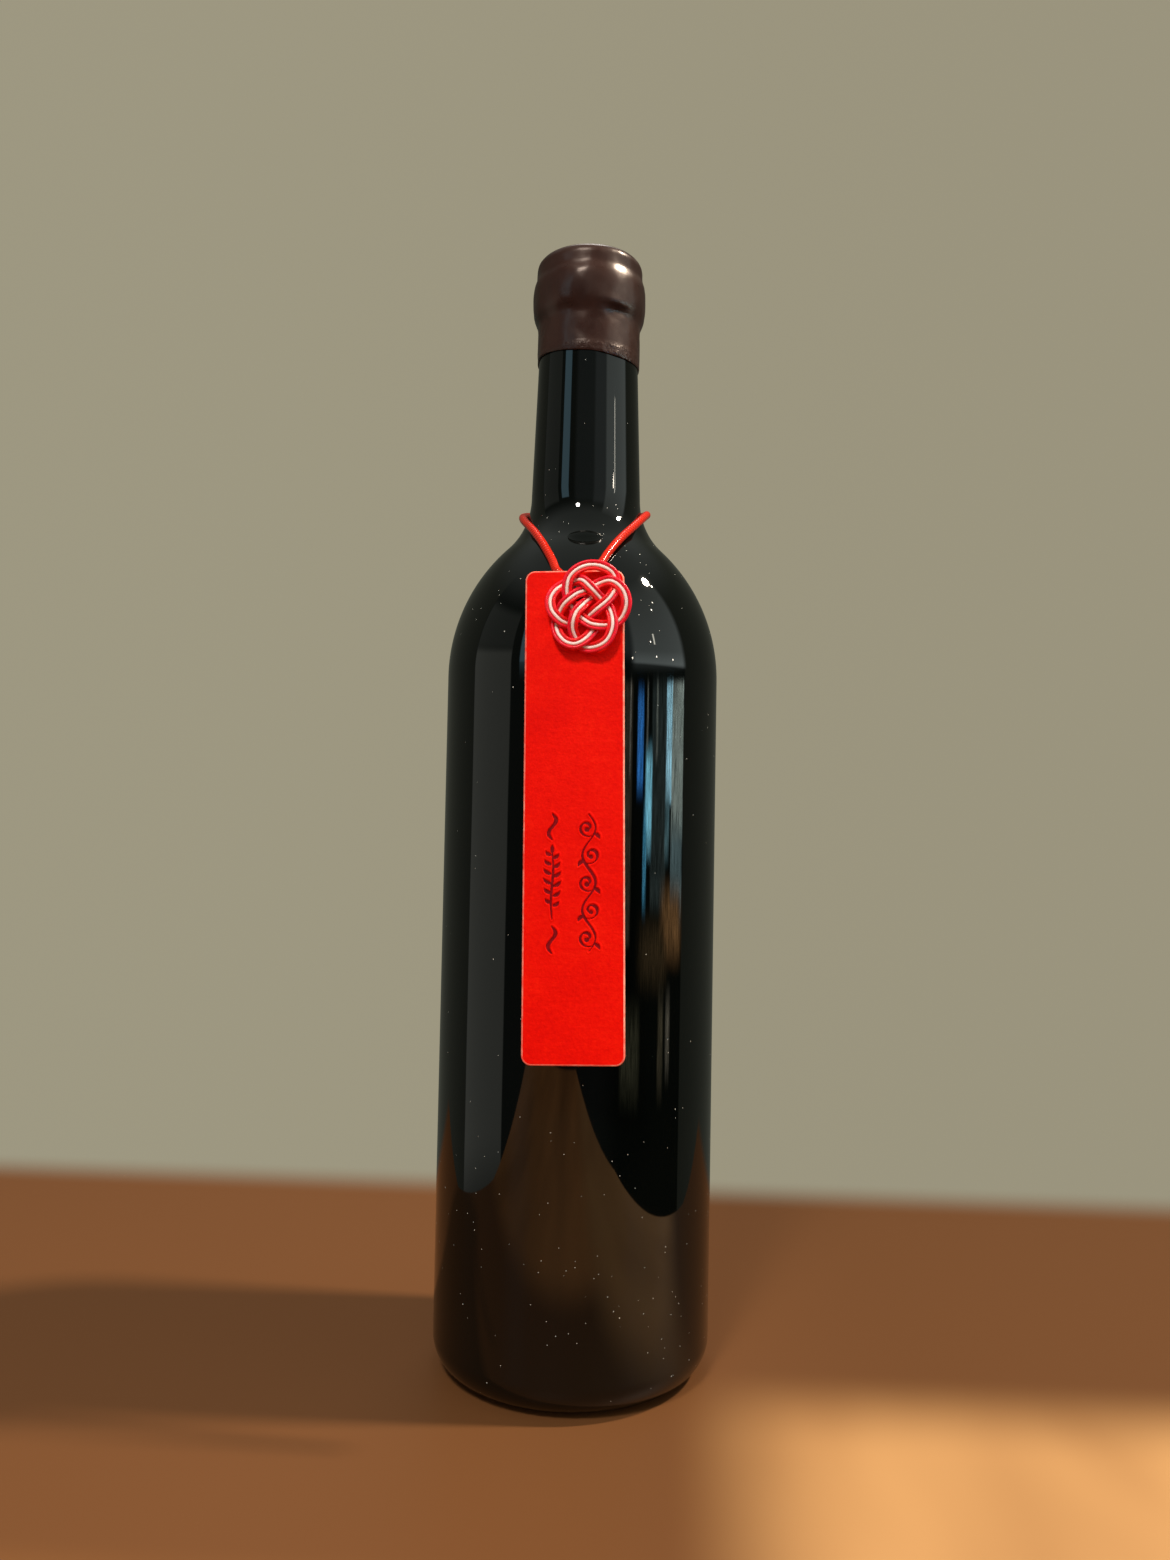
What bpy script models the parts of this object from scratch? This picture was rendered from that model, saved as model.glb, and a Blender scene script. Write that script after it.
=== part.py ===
# Wine bottle with a wax-dipped top and a leather gift tag.
#
# A dark bottle with high shoulders stands upright. Its mouth is dipped in wax. A round cord
# goes round the foot of the neck and through a hole in a long leather tag, and a plum-blossom
# knot of three strands covers that hole.
#
# Metres, +Z up. The origin is on the bottle's axis, in the plane that it stands on, and the
# tag's middle plane is X = 0 with its front towards -Y.

import math

import bmesh
import bpy
from mathutils import Matrix, Vector

MM = 0.001

# Bottle: body, shoulder and neck
BODY_RADIUS = 37.5 * MM
HEEL_RADIUS = 9.0 * MM
SHOULDER_FOOT_Z = 186.5 * MM
SHOULDER_RADIUS = 49.0 * MM
NECK_FILLET_RADIUS = 22.0 * MM
NECK_FOOT_RADIUS = 15.3 * MM
NECK_TOP_RADIUS = 14.05 * MM

# Bottle: underside
PUNT_RADIUS = 25.0 * MM
PUNT_DEPTH = 16.0 * MM
PUNT_EDGE = 1.2 * MM

# Wax seal, and the bottle's mouth under it
WAX_FOOT_Z = 275.6 * MM
WAX_TOP_Z = 305.9 * MM
WAX_SLEEVE_RADIUS = 14.5 * MM
WAX_RING_RADIUS = 15.95 * MM
WAX_RING_Z = 294.2 * MM
WAX_RING_HALF_HEIGHT = 6.2 * MM
WAX_CAP_RADIUS = 15.0 * MM
WAX_CAP_ROUNDING = 3.2 * MM
WAX_WALL = 0.55 * MM
GAP = 0.3 * MM

# Leather tag
TAG_WIDTH = 24.7 * MM
TAG_LENGTH = 120.9 * MM
TAG_THICKNESS = 1.8 * MM
TAG_CORNER_RADIUS = 2.4 * MM
TAG_TOP_Z = 209.1 * MM
TAG_LEAN = math.radians(5.0)
TAG_SWING = math.radians(1.2)
TAG_STAND_OFF = 0.8 * MM
TAG_HOLE_RADIUS = 3.0 * MM
TAG_HOLE_DOWN = 5.0 * MM

# Neck cord: its route in millimetres, from the tag's hole up its left leg, round the back of
# the neck and down its right leg to the hole again
CORD_RADIUS = 1.1 * MM
CORD_ROUTE_MM = [
    (-1.25, -38.7, 203.6), (-1.25, -36.7, 204.9), (-1.9, -34.8, 206.9), (-3.5, -33.4, 209.0),
    (-5.2, -32.25, 210.8), (-6.3, -30.5, 213.4), (-7.9, -27.9, 216.5), (-9.8, -24.3, 219.9),
    (-12.1, -19.1, 223.6), (-14.2, -14.3, 226.6), (-15.9, -10.2, 228.9), (-17.1, -5.6, 231.1),
    (-17.4, -0.6, 232.9), (-15.9, 6.3, 234.9), (-9.9, 13.7, 236.0), (0.0, 16.9, 236.4),
    (9.8, 13.9, 236.0), (15.6, 6.9, 235.1), (17.2, -0.6, 233.6), (16.9, -4.9, 232.1),
    (15.5, -10.6, 229.2), (13.5, -15.7, 225.9), (11.3, -21.1, 222.35), (9.3, -25.5, 218.9),
    (7.6, -28.5, 215.8), (6.5, -30.4, 213.5), (4.9, -32.1, 211.0), (3.3, -33.4, 209.2),
    (1.9, -34.8, 206.9), (1.25, -36.7, 204.9), (1.25, -38.7, 203.6),
]
CORD_STEPS_PER_POINT = 2

# Plum-blossom knot: three strands side by side, laid as one band into five petals on the tag's
# front. The route is the band's middle line in millimetres from the knot's middle: right, up
# along the tag, and out over the knot's middle layer, so that each crossing passes over or under.
KNOT_RIGHT = 3.95 * MM
KNOT_DOWN = 9.45 * MM
KNOT_STRAND_RADIUS = 0.43 * MM
KNOT_STRAND_PITCH = 0.92 * MM
KNOT_ROUTE_MM = [
    (0.3, 2.3, -1.3), (-0.5, 1.4, -0.8), (-1.8, -0.3, 0.9), (-3.4, -2.3, 1.25), (-4.1, -4.4, 1.15),
    (-4.2, -6.4, 0.3), (-3.4, -8.4, -0.7), (-2.2, -10.0, -0.7), (-0.4, -10.8, -0.3),
    (2.1, -10.5, 0.4), (4.2, -9.1, 0.6), (5.4, -6.6, 0.7), (5.6, -4.4, 0.7), (5.1, -1.8, 0.1),
    (4.0, 0.1, -0.7), (2.6, 1.6, -0.3), (0.9, 3.3, 0.8), (-0.8, 5.1, 0.95), (-2.1, 6.2, 0.5),
    (-3.6, 6.4, -0.5), (-5.4, 5.9, -0.8), (-7.0, 5.2, -0.8), (-8.8, 3.6, -0.1), (-9.8, 1.3, 0.5),
    (-9.5, -1.2, 0.6), (-8.2, -3.1, 0.65), (-6.6, -4.3, 0.1), (-4.8, -4.5, -1.1),
    (-2.4, -3.6, -1.25), (-0.3, -2.6, -0.7), (1.6, -1.3, 0.4), (3.6, 0.3, 0.6), (5.1, 1.9, 0.4),
    (5.9, 3.6, -0.3), (6.2, 5.6, -0.7), (5.9, 7.6, -0.5), (4.4, 9.0, 0.1), (1.9, 9.9, 0.4),
    (-0.8, 9.85, 0.6), (-3.2, 8.8, 0.75), (-5.0, 7.0, 0.7), (-5.6, 5.0, 0.5), (-5.7, 3.0, 0.0),
    (-5.2, 1.1, -0.6), (-4.3, -0.7, -0.5), (-3.1, -2.3, 0.0), (-1.6, -3.7, 0.2), (0.2, -4.9, 0.6),
    (2.2, -5.3, 0.4), (4.1, -5.1, -0.4), (5.8, -4.6, -0.7), (7.4, -3.6, -0.6), (8.6, -1.7, 0.1),
    (9.0, 0.6, 0.6), (8.3, 3.1, 0.7), (6.7, 5.0, 0.7), (4.8, 5.9, 0.5), (2.8, 5.7, -0.3),
    (0.9, 4.8, -0.4), (-1.0, 3.8, -0.3), (-3.0, 2.8, 0.7), (-4.8, 1.5, 0.85), (-6.4, 0.1, 0.6),
    (-7.5, -1.5, -0.3), (-8.2, -3.4, -0.8), (-8.4, -5.4, -0.8), (-7.6, -7.6, 0.0),
    (-6.1, -9.3, 0.5), (-4.2, -10.0, 0.6), (-2.4, -9.6, 0.7), (-0.8, -8.4, 0.5),
    (0.4, -6.8, -0.3), (1.2, -5.2, -0.75), (1.5, -4.4, -0.95),
]

BOTTLE_STEPS = 48
WAX_STEPS = 40


def clear_scene():
    for obj in list(bpy.data.objects):
        bpy.data.objects.remove(obj, do_unlink=True)


def material(name, color, roughness, metallic=0.0):
    mat = bpy.data.materials.new(name)
    mat.use_nodes = True
    shader = mat.node_tree.nodes["Principled BSDF"]
    shader.inputs["Base Color"].default_value = (*color, 1.0)
    shader.inputs["Roughness"].default_value = roughness
    shader.inputs["Metallic"].default_value = metallic
    mat.diffuse_color = (*color, 1.0)
    return mat


def arc(center, radius, start_deg, end_deg, count):
    """Points (r, z) of an arc in the turning plane, both ends included."""
    points = []
    for i in range(count + 1):
        angle = math.radians(start_deg + (end_deg - start_deg) * i / count)
        points.append((center[0] + radius * math.cos(angle), center[1] + radius * math.sin(angle)))
    return points


def turned(name, profile, steps, mat, collection):
    """A body turned about the Z axis from a profile that runs down its outer side."""
    mesh = bpy.data.meshes.new(name)
    bm = bmesh.new()
    verts = [bm.verts.new((r, 0.0, z)) for r, z in profile]
    for a, b in zip(verts, verts[1:]):
        bm.edges.new((a, b))
    bm.to_mesh(mesh)
    bm.free()
    obj = bpy.data.objects.new(name, mesh)
    collection.objects.link(obj)
    obj.data.materials.append(mat)
    screw = obj.modifiers.new("turn", "SCREW")
    screw.axis = "Z"
    screw.steps = steps
    screw.render_steps = steps
    screw.use_merge_vertices = True
    screw.merge_threshold = 0.00001
    screw.use_smooth_shade = True
    return obj


def neck_fillet():
    """Centre of the arc between shoulder and neck, and the angle where the two arcs meet."""
    shoulder_center = (BODY_RADIUS - SHOULDER_RADIUS, SHOULDER_FOOT_Z)
    center_r = NECK_FOOT_RADIUS + NECK_FILLET_RADIUS
    run = center_r - shoulder_center[0]
    rise = math.sqrt((SHOULDER_RADIUS + NECK_FILLET_RADIUS) ** 2 - run ** 2)
    return (center_r, SHOULDER_FOOT_Z + rise), math.degrees(math.atan2(rise, run))


def mouth_profile():
    """The glass under the wax, a wall of wax and a gap inside its outline."""
    inset = WAX_WALL + GAP
    ring_low = WAX_RING_Z - WAX_RING_HALF_HEIGHT
    ring_high = WAX_RING_Z + WAX_RING_HALF_HEIGHT
    top = WAX_TOP_Z - 2.0 * inset
    return [
        (0.0, top),
        (WAX_CAP_RADIUS - inset - 3.0 * MM, top),
        (WAX_CAP_RADIUS - inset - 0.6 * MM, top - 1.0 * MM),
        (WAX_CAP_RADIUS - inset, ring_high + 0.4 * MM),
        (WAX_RING_RADIUS - inset, WAX_RING_Z + 2.5 * MM),
        (WAX_RING_RADIUS - inset, WAX_RING_Z - 2.5 * MM),
        (WAX_SLEEVE_RADIUS - inset, ring_low + 0.6 * MM),
        (WAX_SLEEVE_RADIUS - inset, WAX_FOOT_Z - GAP),
    ]


def bottle_profile():
    """Mouth, neck, shoulder, body, heel, standing ring and punt, from the top down."""
    fillet_center, meet_deg = neck_fillet()
    shoulder_center = (BODY_RADIUS - SHOULDER_RADIUS, SHOULDER_FOOT_Z)
    heel_center = (BODY_RADIUS - HEEL_RADIUS, HEEL_RADIUS)
    profile = mouth_profile()
    profile.append((NECK_TOP_RADIUS, WAX_FOOT_Z - GAP))
    profile += arc(fillet_center, NECK_FILLET_RADIUS, 180.0, 180.0 + meet_deg, 8)
    profile += arc(shoulder_center, SHOULDER_RADIUS, meet_deg, 0.0, 11)[1:]
    profile += arc(heel_center, HEEL_RADIUS, 0.0, -90.0, 7)
    profile += punt_profile()
    return profile


def punt_profile():
    """The hollow under the bottle: a rounded inner edge and a spherical dome."""
    dome_radius = (PUNT_RADIUS ** 2 + PUNT_DEPTH ** 2) / (2.0 * PUNT_DEPTH)
    dome_center = (0.0, PUNT_DEPTH - dome_radius)
    edge_deg = math.degrees(math.asin((PUNT_EDGE * 0.5 - dome_center[1]) / dome_radius))
    dome = arc(dome_center, dome_radius, edge_deg, 90.0, 8)
    return [(PUNT_RADIUS + PUNT_EDGE, 0.0)] + dome[:-1] + [(0.0, PUNT_DEPTH)]


def wax_profile():
    """Outer side from the top down, the lower lip, and the inner side up to the axis."""
    ring_low = WAX_RING_Z - WAX_RING_HALF_HEIGHT
    ring_high = WAX_RING_Z + WAX_RING_HALF_HEIGHT
    cap_center = (WAX_CAP_RADIUS - WAX_CAP_ROUNDING, WAX_TOP_Z - WAX_CAP_ROUNDING)
    outer = [(0.0, WAX_TOP_Z)]
    outer += arc(cap_center, WAX_CAP_ROUNDING, 90.0, 0.0, 6)
    outer += [(WAX_CAP_RADIUS, ring_high), (WAX_CAP_RADIUS + 0.2 * MM, ring_high - 0.9 * MM)]
    outer += [(WAX_RING_RADIUS - 0.15 * MM, WAX_RING_Z + 3.2 * MM), (WAX_RING_RADIUS, WAX_RING_Z + 1.0 * MM)]
    outer += [(WAX_RING_RADIUS - 0.1 * MM, WAX_RING_Z - 2.5 * MM)]
    outer += [(WAX_RING_RADIUS - 0.4 * MM, ring_low + 1.5 * MM)]
    outer += [(WAX_SLEEVE_RADIUS, ring_low - 1.2 * MM), (WAX_SLEEVE_RADIUS, WAX_FOOT_Z)]
    inner = [(r + GAP, z + GAP) for r, z in reversed(mouth_profile()[1:])]
    inner[0] = (inner[0][0], WAX_FOOT_Z)
    return outer + inner + [(0.0, mouth_profile()[0][1] + GAP)]


def tag_matrix():
    """Frame of the tag: origin at the middle of its upper edge on its back face, X to the
    right, Y up along the tag, Z out of its front. The back face stands off the shoulder."""
    reach = (SHOULDER_RADIUS + (BODY_RADIUS - SHOULDER_RADIUS) * math.cos(TAG_LEAN)
             + SHOULDER_FOOT_Z * math.sin(TAG_LEAN) + TAG_STAND_OFF)
    forward = (reach - TAG_TOP_Z * math.sin(TAG_LEAN)) / math.cos(TAG_LEAN)
    place = Matrix.Translation(Vector((0.0, -forward, TAG_TOP_Z)))
    lean = Matrix.Rotation(math.pi / 2 - TAG_LEAN, 4, "X")
    return place @ lean @ Matrix.Rotation(TAG_SWING, 4, "Z")


def rounded_rectangle(width, top, bottom, radius, corner_steps=6):
    """Outline points of an upright rectangle with round corners, anticlockwise."""
    half = width / 2.0
    corners = [(half - radius, top - radius, 0.0), (radius - half, top - radius, 90.0),
               (radius - half, bottom + radius, 180.0), (half - radius, bottom + radius, 270.0)]
    outline = []
    for x, y, start in corners:
        outline += arc((x, y), radius, start, start + 90.0, corner_steps)
    return outline


def poly_spline(curve, points, cyclic):
    spline = curve.splines.new("POLY")
    spline.points.add(len(points) - 1)
    for target, point in zip(spline.points, points):
        target.co = (*point, 1.0)
    spline.use_cyclic_u = cyclic
    return spline


def leather_tag(hanger, collection):
    curve = bpy.data.curves.new("tag", "CURVE")
    curve.dimensions = "2D"
    curve.fill_mode = "BOTH"
    curve.extrude = TAG_THICKNESS / 2.0
    outline = rounded_rectangle(TAG_WIDTH, 0.0, -TAG_LENGTH, TAG_CORNER_RADIUS)
    hole = arc((0.0, -TAG_HOLE_DOWN), TAG_HOLE_RADIUS, 0.0, 345.0, 23)
    poly_spline(curve, [(x, y, 0.0) for x, y in outline], True)
    poly_spline(curve, [(x, y, 0.0) for x, y in hole], True)
    tag = bpy.data.objects.new("tag", curve)
    collection.objects.link(tag)
    tag.parent = hanger
    tag.location = (0.0, 0.0, TAG_THICKNESS / 2.0)
    tag.data.materials.append(material("red_leather", (0.72, 0.012, 0.006), 0.42))
    return tag


def smooth_route(points, steps):
    """Catmull-Rom points through a list of route points."""
    route = [2 * points[0] - points[1]] + points + [2 * points[-1] - points[-2]]
    result = []
    for p0, p1, p2, p3 in zip(route, route[1:], route[2:], route[3:]):
        for i in range(steps):
            t = i / steps
            result.append(0.5 * (2 * p1 + (p2 - p0) * t + (2 * p0 - 5 * p1 + 4 * p2 - p3) * t ** 2
                                 + (3 * p1 - p0 - 3 * p2 + p3) * t ** 3))
    return result + [points[-1]]


def tube(name, points, radius, mat, collection):
    curve = bpy.data.curves.new(name, "CURVE")
    curve.dimensions = "3D"
    curve.bevel_depth = radius
    curve.bevel_resolution = 2
    curve.use_fill_caps = True
    poly_spline(curve, [tuple(p) for p in points], False)
    obj = bpy.data.objects.new(name, curve)
    collection.objects.link(obj)
    obj.data.materials.append(mat)
    return obj


def neck_cord(collection):
    points = [Vector(p) * MM for p in CORD_ROUTE_MM]
    mat = material("cord_red", (0.85, 0.05, 0.015), 0.3)
    route = smooth_route(points, CORD_STEPS_PER_POINT)
    return tube("neck_cord", route, CORD_RADIUS, mat, collection)


def knot_strand(name, offset, mat, hanger, collection):
    """One strand, laid beside the band's middle line."""
    route = [Vector(p) * MM for p in KNOT_ROUTE_MM]
    before = [2 * route[0] - route[1]] + route
    after = route[1:] + [2 * route[-1] - route[-2]]
    points = []
    for point, previous, following in zip(route, before, after):
        along = following - previous
        side = Vector((along.y, -along.x, 0.0)).normalized()
        points.append(point + side * offset)
    strand = tube(name, points, KNOT_STRAND_RADIUS, mat, collection)
    strand.parent = hanger
    lowest = min(point.z for point in route)
    lift = TAG_THICKNESS + GAP + KNOT_STRAND_RADIUS - lowest
    strand.location = (KNOT_RIGHT, -KNOT_DOWN, lift)
    return strand


def main():
    clear_scene()
    collection = bpy.data.collections.new("wine_bottle_with_tag")
    bpy.context.scene.collection.children.link(collection)

    turned("bottle", bottle_profile(), BOTTLE_STEPS,
           material("dark_green_glass", (0.006, 0.012, 0.010), 0.06), collection)
    turned("wax_seal", wax_profile(), WAX_STEPS,
           material("dark_wax", (0.055, 0.018, 0.016), 0.3), collection)

    hanger = bpy.data.objects.new("tag_hanger", None)
    collection.objects.link(hanger)
    hanger.matrix_world = tag_matrix()
    leather_tag(hanger, collection)
    neck_cord(collection)
    knot_strand("knot_strand_outer", KNOT_STRAND_PITCH,
                material("strand_crimson", (0.6, 0.008, 0.02), 0.3), hanger, collection)
    knot_strand("knot_strand_middle", 0.0,
                material("strand_pale_pink", (0.85, 0.6, 0.5), 0.3), hanger, collection)
    knot_strand("knot_strand_inner", -KNOT_STRAND_PITCH,
                material("strand_red", (0.7, 0.01, 0.02), 0.3), hanger, collection)


main()
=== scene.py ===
# Looks of the wine bottle: dark glass, wax seal, red leather tag, neck cord and plum-blossom knot.
#
# Metres, +Z up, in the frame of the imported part: the bottle's axis is X = Y = 0, and the tag's
# front is towards -Y. Azimuth 0 is the front (-Y) and 90 the right side (+X).

import math

import bpy
from mathutils import Matrix, Vector, noise
from mathutils.kdtree import KDTree

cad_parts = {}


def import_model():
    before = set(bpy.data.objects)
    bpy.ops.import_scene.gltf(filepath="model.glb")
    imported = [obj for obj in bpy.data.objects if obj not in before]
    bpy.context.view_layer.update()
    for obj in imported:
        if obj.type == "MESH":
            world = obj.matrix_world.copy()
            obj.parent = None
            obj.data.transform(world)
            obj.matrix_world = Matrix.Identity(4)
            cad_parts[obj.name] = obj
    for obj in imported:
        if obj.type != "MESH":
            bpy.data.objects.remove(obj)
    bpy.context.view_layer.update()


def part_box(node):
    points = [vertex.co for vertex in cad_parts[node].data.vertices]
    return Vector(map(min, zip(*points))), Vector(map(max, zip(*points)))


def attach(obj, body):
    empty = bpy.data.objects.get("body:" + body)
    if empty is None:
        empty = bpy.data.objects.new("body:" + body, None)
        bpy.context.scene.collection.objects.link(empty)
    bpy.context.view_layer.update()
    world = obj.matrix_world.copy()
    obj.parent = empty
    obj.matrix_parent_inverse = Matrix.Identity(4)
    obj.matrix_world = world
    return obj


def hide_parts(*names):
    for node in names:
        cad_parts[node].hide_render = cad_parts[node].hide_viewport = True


MM = 0.001
TURN_STEPS = 160  # round the glass and the wax

# Camera: level with the middle of the bottle, 0.33 m in front of its axis and a little right
SENSOR_WIDTH = 36.0
LENS = 27.05
CAMERA_PLACE = Vector((20.9, -327.4, 143.8)) * MM
CAMERA_YAW = math.radians(3.44)
CAMERA_PITCH = math.radians(2.60)
CAMERA_ROLL = math.radians(1.06)

# Glass outline
BODY_RADIUS = 37.5 * MM
HEEL_RADIUS = 9.0 * MM
SHOULDER_FOOT_Z = 186.5 * MM
SHOULDER_RADIUS = 49.0 * MM
NECK_FILLET_RADIUS = 22.0 * MM
NECK_FOOT_RADIUS = 15.3 * MM
NECK_TOP_RADIUS = 14.05 * MM
NECK_TOP_Z = 281.5 * MM
PUNT_RADIUS = 25.0 * MM
PUNT_DEPTH = 16.0 * MM
PUNT_EDGE = 1.2 * MM
MOUTH_ROUNDING = 0.8 * MM

# Dust on the glass: heights where it ends on the body, starts on the shoulder, and ends below
# the neck; then two nets of specks, each as cells per metre and a speck's share of its cell
DUST_BODY_END = (0.030, 0.105)
DUST_SHOULDER_START = (0.185, 0.205)
DUST_SHOULDER_END = (0.232, 0.246)
DUST_NETS = [(260.0, 0.036), (520.0, 0.055)]
GLASS_COLOR = (0.001, 0.0015, 0.0012)
GLASS_ROUGHNESS = 0.03

# Wax outline
WAX_FOOT_Z = 275.6 * MM
WAX_TOP_Z = 305.9 * MM
WAX_SLEEVE_RADIUS = 14.5 * MM
WAX_RING_RADIUS = 15.95 * MM
WAX_RING_Z = 294.2 * MM
WAX_CAP_RADIUS = 15.0 * MM
WAX_CAP_ROUNDING = 3.2 * MM
WAX_SLEEVE_TOP_Z = WAX_RING_Z - 8.2 * MM
WAX_SLEEVE_ROWS = 14
WAX_LIP_HEIGHT = 0.6 * MM
WAX_GAP = 0.03 * MM  # between the neck and the wax's inner side
WAX_OVER_MOUTH = 0.5 * MM
# Millimetres from the axis and under the top: the crown's shallow dish
WAX_CROWN = [(0.0, 0.25), (3.0, 0.2), (6.0, 0.1), (9.0, 0.02)]
# Millimetres in from the sleeve's radius and over its foot: the lower lip
WAX_LIP = [(0.03, 0.2), (0.14, 0.0)]
# Millimetres in from the ring's radius and over its middle, from the cap down to the sleeve
WAX_RING_BOWS = [(0.95, 7.6), (0.93, 6.6), (0.88, 6.0), (0.75, 5.4), (0.52, 4.7), (0.30, 4.0),
                 (0.14, 3.2), (0.04, 2.2), (0.0, 1.0), (0.0, 0.0), (0.04, -1.2), (0.08, -2.2),
                 (0.14, -3.1), (0.24, -4.0), (0.42, -4.9), (0.70, -5.7), (1.05, -6.5),
                 (1.32, -7.2), (1.43, -7.8)]

# Relief of the dipped wax. Lumps: height in millimetres and number per millimetre
WAX_LUMPS = [(0.16, 0.22), (0.07, 0.55)]
# The ring's under side: millimetres below its middle, and a wave of it along the azimuth
WAX_UNDER = 6.5
WAX_UNDER_WAVE = (0.3, 2.3)
# Folds and swellings there: millimetres out, azimuth and spread in radians, and millimetres
# over the under side and spread
WAX_FOLDS = [
    (-0.24, 0.62, 0.19, 0.0, 0.7), (-0.26, -0.09, 0.11, 1.4, 2.2), (-0.20, -0.38, 0.16, 0.0, 0.8),
    (0.26, 0.55, 0.30, 1.9, 0.8), (0.42, 0.20, 0.15, -0.9, 1.7), (0.30, 1.15, 0.25, -0.9, 1.5),
]
# Beads, in a row at the foot and one under the ring: height in millimetres, number in a turn
BEAD_HEIGHT = 0.12
BEADS_IN_TURN = 21.0
# Waves of the uneven lower edge: height in millimetres, number in a turn, and phase
WAX_EDGE_WAVES = [(-0.85, 1.0, -0.1), (0.35, 2.0, 2.2 + math.pi / 2), (0.12, 5.0, 0.8),
                  (0.05, 9.0, 0.0)]
WAX_EDGE_BAND = 4.0 * MM  # the height in which the waves fade out

# Leather tag, seen flat: right and down from the middle of its upper edge
TAG_WIDTH = 24.7 * MM
TAG_LENGTH = 120.9 * MM
TAG_THICKNESS = 1.8 * MM
TAG_CORNER_RADIUS = 2.4 * MM
TAG_LEAN = math.radians(5.0)
TAG_SWING = math.radians(1.2)
TAG_HOLE_RADIUS = 3.0 * MM
TAG_HOLE_DOWN = 5.0 * MM
RIM_WIDTH = 0.4 * MM
COAT, CUT_EDGE, PRESSED, RIM = range(4)  # its material slots

# Ornament: its place in the tag's own frame, as left, right, low and high
ORNAMENT_PLACE = (-9.0 * MM, 8.6 * MM, -36.0 * MM, 0.6 * MM)
# Middle lines of the sprig and the vine, right of the tag's middle, and the vine's top and the
# height of one of its bows, all in millimetres
SPRIG_RIGHT = -5.2
LEAF_PAIRS = 6
VINE_RIGHT = 3.7
VINE_DOWN = 61.2
BOW_HEIGHT = 6.6
BOWS = 5
# Tendril: where its spiral starts and how far it turns, first radius in millimetres, and how
# much tighter it gets in each radian
TENDRIL_START = math.radians(52.0)
TENDRIL_TURN = math.radians(398.0)
TENDRIL_RADIUS = 2.45
TENDRIL_TIGHTENING = 0.215
# Strokes: half width where it counts as 1, depth, slope, the lip beside them, the angle of the
# broad nib, and how far round a point they are looked for
STROKE_RADIUS = 0.44 * MM
STROKE_DEPTH = 0.24 * MM
STROKE_SLOPE = 0.16 * MM
LIP_WIDTH = 0.20 * MM
LIP_HEIGHT = 0.08 * MM
NIB_ANGLE = math.radians(40.0)
STROKE_REACH = 1.6 * MM

# Neck cord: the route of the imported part, in millimetres
CORD_DIAMETER = 2.2 * MM
CORD_ROUTE_MM = [
    (-1.25, -38.7, 203.6), (-1.25, -36.7, 204.9), (-1.9, -34.8, 206.9), (-3.5, -33.4, 209.0),
    (-5.2, -32.25, 210.8), (-6.3, -30.5, 213.4), (-7.9, -27.9, 216.5), (-9.8, -24.3, 219.9),
    (-12.1, -19.1, 223.6), (-14.2, -14.3, 226.6), (-15.9, -10.2, 228.9), (-17.1, -5.6, 231.1),
    (-17.4, -0.6, 232.9), (-15.9, 6.3, 234.9), (-9.9, 13.7, 236.0), (0.0, 16.9, 236.4),
    (9.8, 13.9, 236.0), (15.6, 6.9, 235.1), (17.2, -0.6, 233.6), (16.9, -4.9, 232.1),
    (15.5, -10.6, 229.2), (13.5, -15.7, 225.9), (11.3, -21.1, 222.35), (9.3, -25.5, 218.9),
    (7.6, -28.5, 215.8), (6.5, -30.4, 213.5), (4.9, -32.1, 211.0), (3.3, -33.4, 209.2),
    (1.9, -34.8, 206.9), (1.25, -36.7, 204.9), (1.25, -38.7, 203.6),
]

# Plum-blossom knot: its middle from that of the tag's upper edge, and its three strands
KNOT_RIGHT = 3.95 * MM
KNOT_DOWN = 9.45 * MM
KNOT_GAP = 0.3 * MM
STRAND_RADIUS = 0.43 * MM
STRAND_PITCH = 0.92 * MM
THREAD_LEAN = 0.6
# Strands: node, piece, place beside the band's middle line, slot, finish, dark colour (painted shade
# in the grooves between turns) and light colour
KNOT_STRANDS = [
    ("knot_strand_outer", "knot_thread_outer", STRAND_PITCH, "strand_crimson",
     "crimson_thread", (0.78, 0.003, 0.016), (0.92, 0.008, 0.028)),
    ("knot_strand_middle", "knot_thread_middle", 0.0, "strand_pale",
     "pale_pink_thread", (1.0, 0.60, 0.53), (1.0, 0.80, 0.73)),
    ("knot_strand_inner", "knot_thread_inner", -STRAND_PITCH, "strand_red",
     "red_thread", (0.84, 0.003, 0.006), (0.95, 0.006, 0.009)),
]
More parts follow.
